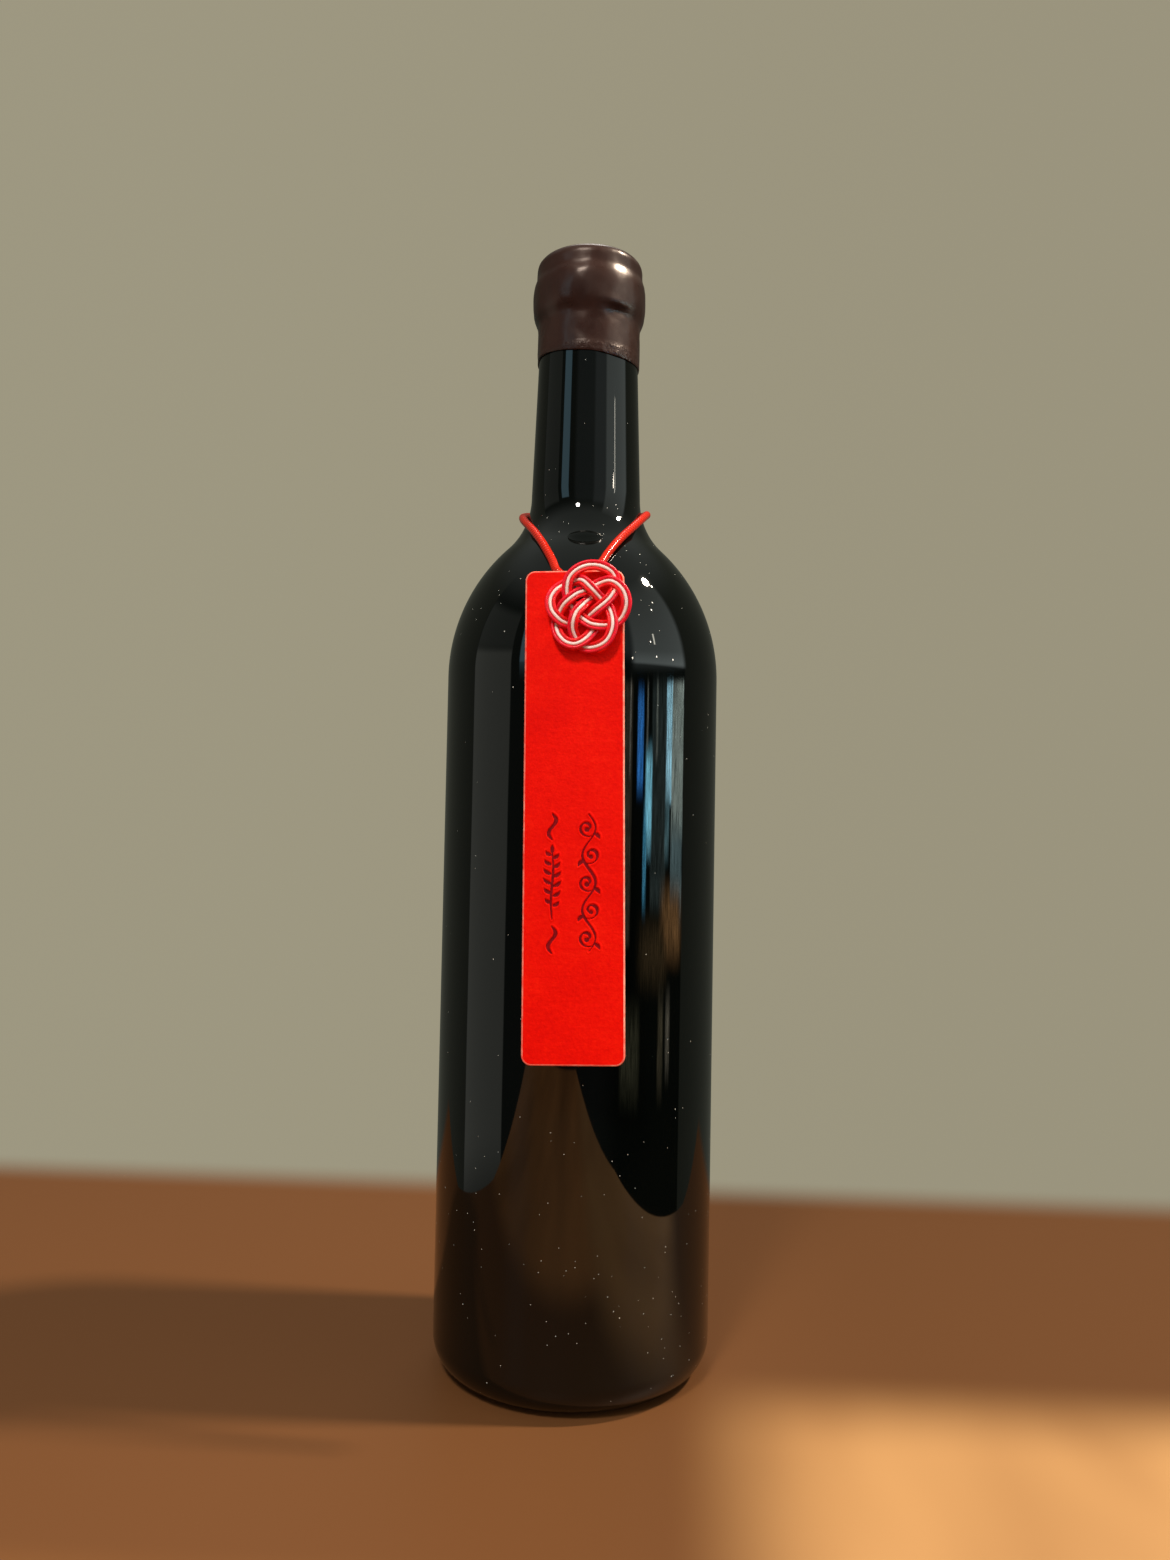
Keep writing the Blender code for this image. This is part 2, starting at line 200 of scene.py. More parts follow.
# The band's middle line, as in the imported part, in millimetres from the knot's middle: right,
# up along the tag, and out over the knot's middle layer
KNOT_ROUTE_MM = [
    (0.3, 2.3, -1.3), (-0.5, 1.4, -0.8), (-1.8, -0.3, 0.9), (-3.4, -2.3, 1.25), (-4.1, -4.4, 1.15),
    (-4.2, -6.4, 0.3), (-3.4, -8.4, -0.7), (-2.2, -10.0, -0.7), (-0.4, -10.8, -0.3),
    (2.1, -10.5, 0.4), (4.2, -9.1, 0.6), (5.4, -6.6, 0.7), (5.6, -4.4, 0.7), (5.1, -1.8, 0.1),
    (4.0, 0.1, -0.7), (2.6, 1.6, -0.3), (0.9, 3.3, 0.8), (-0.8, 5.1, 0.95), (-2.1, 6.2, 0.5),
    (-3.6, 6.4, -0.5), (-5.4, 5.9, -0.8), (-7.0, 5.2, -0.8), (-8.8, 3.6, -0.1), (-9.8, 1.3, 0.5),
    (-9.5, -1.2, 0.6), (-8.2, -3.1, 0.65), (-6.6, -4.3, 0.1), (-4.8, -4.5, -1.1),
    (-2.4, -3.6, -1.25), (-0.3, -2.6, -0.7), (1.6, -1.3, 0.4), (3.6, 0.3, 0.6), (5.1, 1.9, 0.4),
    (5.9, 3.6, -0.3), (6.2, 5.6, -0.7), (5.9, 7.6, -0.5), (4.4, 9.0, 0.1), (1.9, 9.9, 0.4),
    (-0.8, 9.85, 0.6), (-3.2, 8.8, 0.75), (-5.0, 7.0, 0.7), (-5.6, 5.0, 0.5), (-5.7, 3.0, 0.0),
    (-5.2, 1.1, -0.6), (-4.3, -0.7, -0.5), (-3.1, -2.3, 0.0), (-1.6, -3.7, 0.2), (0.2, -4.9, 0.6),
    (2.2, -5.3, 0.4), (4.1, -5.1, -0.4), (5.8, -4.6, -0.7), (7.4, -3.6, -0.6), (8.6, -1.7, 0.1),
    (9.0, 0.6, 0.6), (8.3, 3.1, 0.7), (6.7, 5.0, 0.7), (4.8, 5.9, 0.5), (2.8, 5.7, -0.3),
    (0.9, 4.8, -0.4), (-1.0, 3.8, -0.3), (-3.0, 2.8, 0.7), (-4.8, 1.5, 0.85), (-6.4, 0.1, 0.6),
    (-7.5, -1.5, -0.3), (-8.2, -3.4, -0.8), (-8.4, -5.4, -0.8), (-7.6, -7.6, 0.0),
    (-6.1, -9.3, 0.5), (-4.2, -10.0, 0.6), (-2.4, -9.6, 0.7), (-0.8, -8.4, 0.5),
    (0.4, -6.8, -0.3), (1.2, -5.2, -0.75), (1.5, -4.4, -0.95),
]


# Shapes

def deselect_all():
    bpy.ops.object.select_all(action="DESELECT")


def select_only(obj):
    deselect_all()
    obj.select_set(True)
    bpy.context.view_layer.objects.active = obj


def named(name):
    """The object that an operator has just added, under its own name."""
    obj = bpy.context.object
    obj.name = name
    obj.data.name = name
    return obj


def arc(center, radius, start_deg, end_deg, count):
    """Points of an arc in a plane, both ends included."""
    points = []
    for i in range(count + 1):
        angle = math.radians(start_deg + (end_deg - start_deg) * i / count)
        points.append((center[0] + radius * math.cos(angle),
                       center[1] + radius * math.sin(angle)))
    return points


def turned(name, outline, crease_deg):
    """A body spun about the Z axis from outline points (radius, height)."""
    deselect_all()
    bpy.ops.mesh.primitive_plane_add(size=MM)
    obj = named(name)
    bpy.ops.object.mode_set(mode="EDIT")
    bpy.ops.mesh.merge(type="CENTER")
    bpy.ops.transform.translate(value=(outline[0][0], 0.0, outline[0][1]))
    for (r0, z0), (r1, z1) in zip(outline, outline[1:]):
        step = (r1 - r0, 0.0, z1 - z0)
        bpy.ops.mesh.extrude_vertices_move(TRANSFORM_OT_translate={"value": step})
    bpy.ops.mesh.select_all(action="SELECT")
    bpy.ops.mesh.spin(steps=TURN_STEPS, angle=math.tau, center=(0.0, 0.0, 0.0),
                      axis=(0.0, 0.0, 1.0))
    bpy.ops.mesh.select_all(action="SELECT")
    bpy.ops.mesh.remove_doubles(threshold=0.005 * MM)
    bpy.ops.mesh.normals_make_consistent(inside=False)
    bpy.ops.object.mode_set(mode="OBJECT")
    bpy.ops.object.shade_smooth_by_angle(angle=math.radians(crease_deg))
    return obj


def smooth_route(points, steps):
    """Catmull-Rom points through a list of route points."""
    route = [2 * points[0] - points[1]] + points + [2 * points[-1] - points[-2]]
    result = []
    for p0, p1, p2, p3 in zip(route, route[1:], route[2:], route[3:]):
        for i in range(steps):
            t = i / steps
            result.append(0.5 * (2 * p1 + (p2 - p0) * t + (2 * p0 - 5 * p1 + 4 * p2 - p3) * t ** 2
                                 + (3 * p1 - p0 - 3 * p2 + p3) * t ** 3))
    return result + [points[-1]]


def tube(name, route, radius, sides_quarter):
    """A round tube along a list of points, made into one mesh with closed ends."""
    curve = bpy.data.curves.new(name, "CURVE")
    curve.dimensions = "3D"
    curve.bevel_depth = radius
    curve.bevel_resolution = sides_quarter
    curve.use_fill_caps = True
    spline = curve.splines.new("POLY")
    spline.points.add(len(route) - 1)
    for point, place in zip(spline.points, route):
        point.co = (*place, 1.0)
    obj = bpy.data.objects.new(name, curve)
    bpy.context.scene.collection.objects.link(obj)
    select_only(obj)
    bpy.ops.object.convert(target="MESH")
    bpy.ops.object.mode_set(mode="EDIT")
    bpy.ops.mesh.select_all(action="SELECT")
    bpy.ops.mesh.remove_doubles(threshold=0.002 * MM)
    bpy.ops.mesh.normals_make_consistent(inside=False)
    bpy.ops.object.mode_set(mode="OBJECT")
    bpy.ops.object.shade_smooth_by_angle(angle=math.radians(50.0))
    return obj


def cut_out(obj, other):
    """Takes the other object's shape out of the object, and removes the other."""
    boolean = obj.modifiers.new("cut_out", "BOOLEAN")
    boolean.operation = "DIFFERENCE"
    boolean.solver = "EXACT"
    boolean.use_self = True
    boolean.material_mode = "TRANSFER"
    boolean.object = other
    select_only(obj)
    bpy.ops.object.modifier_apply(modifier=boolean.name)
    bpy.data.objects.remove(other, do_unlink=True)


def round_edges(obj, chosen, offset, segments):
    """Bevels the edges whose two ends pass a test."""
    bpy.ops.object.mode_set(mode="EDIT")
    bpy.ops.mesh.select_all(action="DESELECT")
    bpy.ops.mesh.select_mode(type="EDGE")
    bpy.ops.object.mode_set(mode="OBJECT")
    for edge in obj.data.edges:
        start, end = (obj.data.vertices[index].co for index in edge.vertices)
        edge.select = chosen(start, end)
    bpy.ops.object.mode_set(mode="EDIT")
    bpy.ops.mesh.bevel(offset=offset, segments=segments, affect="EDGES")
    bpy.ops.object.mode_set(mode="OBJECT")


# Finishes

class Nodes:
    """Short ways to wire up a node tree."""

    def __init__(self, tree):
        self.tree = tree

    def add(self, kind, **settings):
        node = self.tree.nodes.new(kind)
        for key, value in settings.items():
            setattr(node, key, value)
        return node

    def plug(self, source, target):
        """Wires an output, or sets a plain value, on an input."""
        if isinstance(source, bpy.types.NodeSocket):
            self.tree.links.new(source, target)
        elif isinstance(source, tuple) and len(source) < len(target.default_value):
            target.default_value = (*source, 1.0)
        else:
            target.default_value = source

    def ramp(self, source, stops):
        """Colours or greys at places from 0 to 1 along a value."""
        node = self.add("ShaderNodeValToRGB")
        elements = node.color_ramp.elements
        while len(elements) < len(stops):
            elements.new(0.5)
        for element, (position, color) in zip(elements, stops):
            element.position = position
            rgb = color if isinstance(color, tuple) else (color, color, color)
            element.color = (*rgb, 1.0)
        self.plug(source, node.inputs["Fac"])
        return node.outputs["Color"]

    def math(self, operation, a, b=None):
        node = self.add("ShaderNodeMath", operation=operation)
        self.plug(a, node.inputs[0])
        if b is not None:
            self.plug(b, node.inputs[1])
        return node.outputs["Value"]

    def mix(self, fac, a, b, blend="MIX"):
        node = self.add("ShaderNodeMix", data_type="RGBA", blend_type=blend)
        self.plug(fac, node.inputs["Factor"])
        self.plug(a, node.inputs["A"])
        self.plug(b, node.inputs["B"])
        return node.outputs["Result"]

    def rise(self, value, low, high):
        """A smooth step from 0 to 1 between two values."""
        node = self.add("ShaderNodeMapRange", interpolation_type="SMOOTHSTEP")
        self.plug(value, node.inputs["Value"])
        node.inputs["From Min"].default_value = low
        node.inputs["From Max"].default_value = high
        return node.outputs["Result"]

    def fall(self, value, low, high):
        """A smooth step from 1 to 0 between two values."""
        return self.math("SUBTRACT", 1.0, self.rise(value, low, high))

    def split(self, vector):
        node = self.add("ShaderNodeSeparateXYZ")
        self.plug(vector, node.inputs["Vector"])
        return node.outputs["X"], node.outputs["Y"], node.outputs["Z"]


class Finish(Nodes):
    """A Principled material with procedural detail on the object's own coordinates."""

    def __init__(self, name, color, roughness, **sockets):
        self.mat = bpy.data.materials.new(name)
        self.mat.use_nodes = True
        super().__init__(self.mat.node_tree)
        self.shader = self.tree.nodes["Principled BSDF"]
        self.shader.inputs["Base Color"].default_value = (*color, 1.0)
        self.shader.inputs["Roughness"].default_value = roughness
        for socket, value in sockets.items():
            self.shader.inputs[socket.replace("_", " ")].default_value = value
        self.place = self.add("ShaderNodeTexCoord")

    def noise(self, scale, detail=2.0, roughness=0.5, stretch=None):
        node = self.add("ShaderNodeTexNoise")
        node.inputs["Scale"].default_value = scale
        node.inputs["Detail"].default_value = detail
        node.inputs["Roughness"].default_value = roughness
        self.plug(self.coordinates(stretch), node.inputs["Vector"])
        return node.outputs["Fac"]

    def cells(self, scale):
        """Cells with a random colour each, and the distance from their middles."""
        node = self.add("ShaderNodeTexVoronoi", feature="F1")
        node.inputs["Scale"].default_value = scale
        self.plug(self.coordinates(), node.inputs["Vector"])
        return node

    def height(self):
        """The height above the foot, on a piece that stands at the origin."""
        return self.split(self.place.outputs["Object"])[2]

    def coordinates(self, stretch=None):
        if stretch is None:
            return self.place.outputs["Object"]
        mapping = self.add("ShaderNodeMapping")
        mapping.inputs["Scale"].default_value = stretch
        self.plug(self.place.outputs["Object"], mapping.inputs["Vector"])
        return mapping.outputs["Vector"]

    def bump(self, height, distance):
        node = self.add("ShaderNodeBump")
        node.inputs["Distance"].default_value = distance
        self.plug(height, node.inputs["Height"])
        self.plug(node.outputs["Normal"], self.shader.inputs["Normal"])

    def color(self, source):
        self.plug(source, self.shader.inputs["Base Color"])

    def rough(self, source):
        self.plug(source, self.shader.inputs["Roughness"])


def dark_bottle_glass():
    """Near-black green glass with a faint waviness, a little haze, and specks of dust."""
    f = Finish("dark_bottle_glass", GLASS_COLOR, GLASS_ROUGHNESS, IOR=1.52)
    f.bump(f.noise(34.0, 1.0), 0.035 * MM)
    up = f.height()
    body = f.fall(up, *DUST_BODY_END)
    below_neck = f.fall(up, *DUST_SHOULDER_END)
    shoulder = f.math("MULTIPLY", f.rise(up, *DUST_SHOULDER_START), below_neck)
    dusty = f.math("ADD", f.math("MULTIPLY", body, 0.8), f.math("MULTIPLY", shoulder, 1.4))
    drifts = f.ramp(f.noise(34.0, 2.0), [(0.42, 0.15), (0.62, 1.0)])
    dusty = f.math("ADD", f.math("MULTIPLY", dusty, drifts), 0.09)
    specks = None
    for scale, reach in DUST_NETS:
        dust = f.cells(scale)
        chance = f.split(dust.outputs["Color"])[0]
        speck = f.math("MULTIPLY", f.math("LESS_THAN", dust.outputs["Distance"], reach),
                       f.math("LESS_THAN", chance, dusty))
        specks = speck if specks is None else f.math("MAXIMUM", specks, speck)
    haze = f.ramp(f.noise(9.0, 3.0), [(0.45, GLASS_COLOR), (0.75, (0.003, 0.0035, 0.0025))])
    f.color(f.mix(specks, haze, (0.62, 0.60, 0.54)))
    f.rough(f.math("ADD", f.math("MULTIPLY", specks, 0.6), GLASS_ROUGHNESS))
    return f.mat


def brown_red_wax():
    """Dark satin wax, softly uneven, with small drips at its foot."""
    f = Finish("brown_red_wax", (0.034, 0.012, 0.008), 0.3, IOR=1.5,
               Specular_Tint=(1.0, 0.80, 0.70, 1.0))
    f.color(f.ramp(f.noise(90.0, 3.0), [(0.3, (0.022, 0.008, 0.006)),
                                        (0.7, (0.036, 0.014, 0.010))]))
    f.rough(f.ramp(f.noise(170.0, 2.0), [(0.3, 0.26), (0.75, 0.38)]))
    foot = f.fall(f.height(), WAX_FOOT_Z + 1.6 * MM, WAX_FOOT_Z + 3.2 * MM)
    drips = f.math("MULTIPLY", foot, f.noise(1000.0, 2.0))
    f.bump(f.math("ADD", f.noise(260.0, 3.0), f.math("MULTIPLY", drips, 4.0)), 0.05 * MM)
    return f.mat


def leather_grain(f, depth):
    """Pebbled grain with shallow creases that run across the tag."""
    pebbles = f.cells(1300.0).outputs["Distance"]
    creases = f.noise(160.0, 4.0, 0.6, (1.0, 1.0, 4.0))
    pores = f.noise(2600.0, 2.0)
    height = f.math("ADD", f.math("MULTIPLY", pebbles, 0.55), f.math("MULTIPLY", pores, 0.35))
    f.bump(f.math("ADD", height, f.math("MULTIPLY", creases, 1.4)), depth)


def red_leather():
    """The tag's red coat, cloudy and finely grained."""
    f = Finish("red_leather", (0.84, 0.005, 0.001), 0.5, Specular_IOR_Level=0.06)
    cloud = f.mix(0.45, f.noise(60.0, 4.0, 0.6), f.noise(900.0, 3.0, 0.6))
    f.color(f.ramp(cloud, [(0.34, (0.74, 0.003, 0.001)), (0.52, (0.84, 0.005, 0.001)),
                           (0.68, (0.92, 0.010, 0.002))]))
    leather_grain(f, 0.05 * MM)
    return f.mat


def leather_rim_painted_highlight():
    """Lighter red over the rounded edge: partly the burnished edge of the red coat, partly painted
    highlight, which is palest along the right side.
    """
    f = Finish("leather_rim_painted_highlight", (0.85, 0.18, 0.13), 0.6, Specular_IOR_Level=0.25)
    # Paler towards the right edge: painted highlight of the light from the right
    right = f.rise(f.split(f.place.outputs["Object"])[0], 0.008, 0.013)
    wear_and_painted_highlight = f.math("ADD", f.noise(500.0, 3.0, 0.6), f.math("MULTIPLY", right, 0.14))
    f.color(f.ramp(wear_and_painted_highlight, [(0.30, (0.86, 0.050, 0.030)), (0.52, (0.90, 0.16, 0.11)),
                          (0.80, (0.92, 0.38, 0.27))]))
    return f.mat


def cut_leather_edge():
    """Bare fibres at the tag's cut sides and in its hole."""
    f = Finish("cut_leather_edge", (0.62, 0.28, 0.22), 0.8, Specular_IOR_Level=0.2)
    fibre = f.noise(1800.0, 3.0)
    f.color(f.ramp(fibre, [(0.3, (0.55, 0.16, 0.12)), (0.7, (0.78, 0.42, 0.35))]))
    f.bump(fibre, 0.08 * MM)
    return f.mat


def pressed_leather():
    """Dark red at the bottom of the pressed strokes."""
    f = Finish("pressed_leather", (0.22, 0.002, 0.005), 0.45, Specular_IOR_Level=0.15)
    f.color(f.ramp(f.noise(900.0, 2.0), [(0.3, (0.16, 0.002, 0.005)),
                                         (0.7, (0.26, 0.003, 0.006))]))
    return f.mat


def wound_thread(name, dark, light, roughness, turns, depth):
    """Fine thread wound round a cord, drawn on the tube's own UV map; its darker colour, in the
    grooves between the turns, is painted shade.
    """
    f = Finish(name, light, roughness)
    along, around, _ = f.split(f.place.outputs["UV"])
    along = f.math("MULTIPLY", along, turns)
    around = f.math("MULTIPLY", around, THREAD_LEAN)
    phase = f.math("MULTIPLY", f.math("ADD", along, around), math.tau)
    ridge = f.math("ADD", f.math("MULTIPLY", f.math("SINE", phase), 0.5), 0.5)
    # Darker in the grooves between the turns: painted shade
    f.color(f.ramp(ridge, [(0.0, dark), (0.6, light)]))
    f.bump(ridge, depth)
    return f.mat


# Pieces

def glass_outline():
    """Mouth under the wax, neck, shoulder, body, heel, standing ring and punt, top down."""
    shoulder_center = (BODY_RADIUS - SHOULDER_RADIUS, SHOULDER_FOOT_Z)
    fillet_r = NECK_FOOT_RADIUS + NECK_FILLET_RADIUS
    run = fillet_r - shoulder_center[0]
    rise = math.sqrt((SHOULDER_RADIUS + NECK_FILLET_RADIUS) ** 2 - run ** 2)
    meet_deg = math.degrees(math.atan2(rise, run))
    fillet_center = (fillet_r, SHOULDER_FOOT_Z + rise)
    dome_radius = (PUNT_RADIUS ** 2 + PUNT_DEPTH ** 2) / (2.0 * PUNT_DEPTH)
    dome_center = (0.0, PUNT_DEPTH - dome_radius)
    edge_deg = math.degrees(math.asin((PUNT_EDGE * 0.5 - dome_center[1]) / dome_radius))
    outline = [(0.0, NECK_TOP_Z)]
    outline += arc((NECK_TOP_RADIUS - MOUTH_ROUNDING, NECK_TOP_Z - MOUTH_ROUNDING),
                   MOUTH_ROUNDING, 90.0, 0.0, 4)
    outline += [(NECK_TOP_RADIUS, WAX_FOOT_Z)]
    outline += arc(fillet_center, NECK_FILLET_RADIUS, 180.0, 180.0 + meet_deg, 20)
    outline += arc(shoulder_center, SHOULDER_RADIUS, meet_deg, 0.0, 28)[1:]
    outline += arc((BODY_RADIUS - HEEL_RADIUS, HEEL_RADIUS), HEEL_RADIUS, 0.0, -90.0, 16)
    outline += arc((PUNT_RADIUS + PUNT_EDGE, PUNT_EDGE), PUNT_EDGE, 270.0, 180.0, 5)
    outline += arc(dome_center, dome_radius, edge_deg, 90.0, 16)
    outline[-1] = (0.0, PUNT_DEPTH)
    return outline


def glass_bottle():
    glass = turned("bottle_glass", glass_outline(), 35.0)
    glass.data.materials.append(dark_bottle_glass())
    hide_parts("bottle")
    return glass


def wax_outline():
    """Crown, cap, ring, sleeve and lower lip, then the inner side up to the axis."""
    outline = [(radius * MM, WAX_TOP_Z - down * MM) for radius, down in WAX_CROWN]
    outline += arc((WAX_CAP_RADIUS - WAX_CAP_ROUNDING, WAX_TOP_Z - WAX_CAP_ROUNDING),
                   WAX_CAP_ROUNDING, 90.0, 0.0, 12)
    outline += [(WAX_RING_RADIUS - inward * MM, WAX_RING_Z + over * MM)
                for inward, over in WAX_RING_BOWS]
    sleeve_length = WAX_FOOT_Z + WAX_LIP_HEIGHT - WAX_SLEEVE_TOP_Z
    for i in range(WAX_SLEEVE_ROWS + 1):
        share = i / WAX_SLEEVE_ROWS
        outline.append((WAX_SLEEVE_RADIUS, WAX_SLEEVE_TOP_Z + sleeve_length * share))
    outline += [(WAX_SLEEVE_RADIUS - inward * MM, WAX_FOOT_Z + over * MM)
                for inward, over in WAX_LIP]
    inner_radius = NECK_TOP_RADIUS + WAX_GAP
    inner_top = NECK_TOP_Z + WAX_OVER_MOUTH
    return outline + [(inner_radius, WAX_FOOT_Z), (inner_radius, inner_top), (0.0, inner_top)]


def hump(value, middle, spread):
    """A bell of height 1."""
    return math.exp(-((value - middle) / spread) ** 2)


def wax_relief(azimuth, z):
    """How far the dipped wax stands out of its turned form: lumps, folds under the ring, beads."""
    place = Vector((math.sin(azimuth), -math.cos(azimuth), 0.0)) * (WAX_SLEEVE_RADIUS / MM)
    place.z = z / MM
    relief = sum(height * noise.noise(place * density) for height, density in WAX_LUMPS)
    swing, waves = WAX_UNDER_WAVE
    under = WAX_RING_Z - (WAX_UNDER + swing * math.sin(waves * azimuth)) * MM
    for out, middle, spread, over, tall in WAX_FOLDS:
        relief += out * hump(azimuth, middle, spread) * hump(z, under + over * MM, tall * MM)
    row = math.sin(BEADS_IN_TURN * azimuth + 1.5 * math.sin(5.0 * azimuth))
    at_foot = hump(z, WAX_FOOT_Z + 1.0 * MM, 0.9 * MM) * hump(azimuth, 0.4, 0.6)
    under_ring = 1.2 * hump(z, under - 1.6 * MM, 0.7 * MM) * hump(azimuth, 0.5, 0.3)
    return (relief + BEAD_HEIGHT * row * (at_foot + under_ring)) * MM


def wax_edge_lift(azimuth):
    """How far the uneven lower edge stands over its mean height."""
    return sum(height * math.sin(number * azimuth + phase)
               for height, number, phase in WAX_EDGE_WAVES) * MM


def wax_seal():
    wax = turned("wax_seal_dipped", wax_outline(), 50.0)
    outer_side = NECK_TOP_RADIUS + 0.1 * MM
    for vertex in wax.data.vertices:
        x, y, z = vertex.co
        radius = math.hypot(x, y)
        azimuth = math.atan2(x, -y)
        share = 1.0 - min(max((z - WAX_FOOT_Z) / WAX_EDGE_BAND, 0.0), 1.0)
        lifted = z + wax_edge_lift(azimuth) * share
        if radius > outer_side:
            out = 1.0 + wax_relief(azimuth, z) / radius
            vertex.co = (x * out, y * out, lifted)
        elif radius > NECK_TOP_RADIUS:
            vertex.co.z = lifted
    wax.data.materials.append(brown_red_wax())
    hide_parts("wax_seal")
    return wax


def tag_place():
    """From the tag's own frame (right, up along it, out of its front; origin in its middle)."""
    low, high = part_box("tag")
    lean = Matrix.Rotation(math.pi / 2 - TAG_LEAN, 4, "X")
    return Matrix.Translation((low + high) / 2) @ lean @ Matrix.Rotation(TAG_SWING, 4, "Z")


def stroke(points, widths, nib=True):
    """A pressed stroke: its line in the tag's own frame, and its half widths.

    Points are given in millimetres right of and below the middle of the tag's upper edge. A broad
    nib is wide where it runs across itself and narrow along itself.
    """
    line = [Vector((right * MM, TAG_LENGTH / 2 - down * MM)) for right, down in points]
    before = [line[0]] + line[:-1]
    after = line[1:] + [line[-1]]
    half_widths = []
    for width, previous, following in zip(widths, before, after):
        heading = math.atan2(following.y - previous.y, following.x - previous.x)
        share = 0.65 + 0.60 * abs(math.sin(heading - NIB_ANGLE)) if nib else 1.0
        half_widths.append(STROKE_RADIUS * width * share)
    return line, half_widths


def wave_mark(right, down):
    """A short wave that runs down the tag, thin at both ends."""
    length, swell, steps = 6.4, 0.9, 24
    points, widths = [], []
    for i in range(steps + 1):
        t = i / steps
        points.append((right + swell * math.sin(math.tau * t), down + length * (t - 0.5)))
        widths.append(0.40 + 1.0 * math.sin(math.pi * t))
    return stroke(points, widths)


def stem(right, down, length, swell, waves):
    """A long stroke that swings to both sides as it runs down the tag."""
    steps = 120
    points, widths = [], []
    for i in range(steps + 1):
        t = i / steps
        points.append((right + swell * math.sin(math.tau * waves * t), down + length * t))
        widths.append(0.45 + 0.35 * math.sin(math.pi * t))
    return stroke(points, widths)


def tendril(right, down, side):
    """A spiral that leaves the foot of a bow of the vine and curls up into its hollow, to a bud."""
    steps, bud = 60, 5
    points, widths = [], []
    for i in range(steps + 1):
        wound = TENDRIL_TURN * i / steps
        angle = TENDRIL_START + wound
        radius = TENDRIL_RADIUS * math.exp(-TENDRIL_TIGHTENING * wound)
        points.append((right + side * (radius * math.cos(angle) - 0.5),
                       down + radius * math.sin(angle)))
        swelling = max(0.0, i - (steps - bud)) / bud
        widths.append(0.40 + 0.50 * math.sin(math.pi * i / steps) + 1.0 * swelling)
    return stroke(points, widths)


def leaf(right, down, length, angle, curl):
    """A pointed leaf pressed in one stroke from its stalk to its tip."""
    along = Vector((math.cos(angle), math.sin(angle)))
    across = Vector((-along.y, along.x))
    steps = 12
    points, widths = [], []
    for i in range(steps + 1):
        t = i / steps
        place = along * (length * t) + across * (curl * math.sin(math.pi * t))
        points.append((right + place.x, down + place.y))
        widths.append(0.18 + 1.05 * math.sin(math.pi * t ** 0.75))
    return stroke(points, widths, nib=False)


def ornament():
    """Two wave marks with a sprig between them, and a scrolling vine beside it.

    All places are in millimetres right of the tag's middle and below its upper edge.
    """
    strokes = [wave_mark(SPRIG_RIGHT, 64.2), wave_mark(SPRIG_RIGHT, 91.4)]
    strokes.append(stem(SPRIG_RIGHT, 70.2, 16.2, 0.25, 1.0))
    strokes.append(leaf(SPRIG_RIGHT, 70.6, 2.1, -math.pi / 2, 0.0))
    for n in range(LEAF_PAIRS):
        length = 1.5 + 1.0 * math.sin(math.pi * (n + 0.6) / 6.4)
        for side in (-1.0, 1.0):
            root = (SPRIG_RIGHT + side * 0.15, 71.4 + 2.3 * n + 0.35 * side)
            strokes.append(leaf(*root, length, -math.pi / 2 + side * 0.95, 0.3 * side))
    strokes.append(stem(VINE_RIGHT, VINE_DOWN, BOWS * BOW_HEIGHT, 1.6, BOWS / 2))
    for n in range(BOWS):
        side = -1.0 if n % 2 else 1.0
        top = VINE_DOWN + BOW_HEIGHT * n
        strokes.append(tendril(VINE_RIGHT, top + BOW_HEIGHT / 2 - 0.1, side))
        root = (VINE_RIGHT + side * 1.3, top + 0.70 * BOW_HEIGHT)
        strokes.append(leaf(*root, 2.0, math.pi / 2 - side * 0.75, -0.25 * side))
    return strokes


def stroke_relief(point, spots):
    """Height of the leather at a point: down inside a stroke, and a low lip beside it."""
    inside = max(half - (point - spot).length for spot, half in spots)
    if inside < -3.0 * LIP_WIDTH:
        return 0.0
    depth = STROKE_DEPTH * min(max(inside / STROKE_SLOPE, 0.0), 1.0) ** 0.7
    lip = LIP_HEIGHT * math.exp(-((inside + LIP_WIDTH) / LIP_WIDTH) ** 2)
    return lip - depth


def ornament_spots():
    """Points along all strokes with their half widths, and a tree to find them by place."""
    spots = []
    for line, half_widths in ornament():
        for a, b, half_a, half_b in zip(line, line[1:], half_widths, half_widths[1:]):
            spots += [(a, half_a), (a.lerp(b, 0.5), (half_a + half_b) / 2)]
        spots.append((line[-1], half_widths[-1]))
    tree = KDTree(len(spots))
    for index, (spot, _) in enumerate(spots):
        tree.insert((*spot, 0.0), index)
    tree.balance()
    return spots, tree


def grid_ornament_place(tag):
    """Cuts the place of the ornament out of the front face, and divides it finely."""
    left, right, low, high = ORNAMENT_PLACE
    bpy.ops.object.mode_set(mode="EDIT")
    for place, normal in (((left, 0.0), (1.0, 0.0)), ((right, 0.0), (1.0, 0.0)),
                          ((0.0, low), (0.0, 1.0)), ((0.0, high), (0.0, 1.0))):
        bpy.ops.mesh.select_all(action="SELECT")
        bpy.ops.mesh.bisect(plane_co=(*place, 0.0), plane_no=(*normal, 0.0))
    bpy.ops.mesh.select_all(action="DESELECT")
    bpy.ops.mesh.select_mode(type="FACE")
    bpy.ops.object.mode_set(mode="OBJECT")
    middle = Vector(((left + right) / 2, (low + high) / 2, TAG_THICKNESS / 2))
    for face in tag.data.polygons:
        face.select = (face.center - middle).length < 0.1 * MM
    bpy.ops.object.mode_set(mode="EDIT")
    for cuts in (2, 3, 15):
        bpy.ops.mesh.subdivide(number_cuts=cuts)
    bpy.ops.object.mode_set(mode="OBJECT")


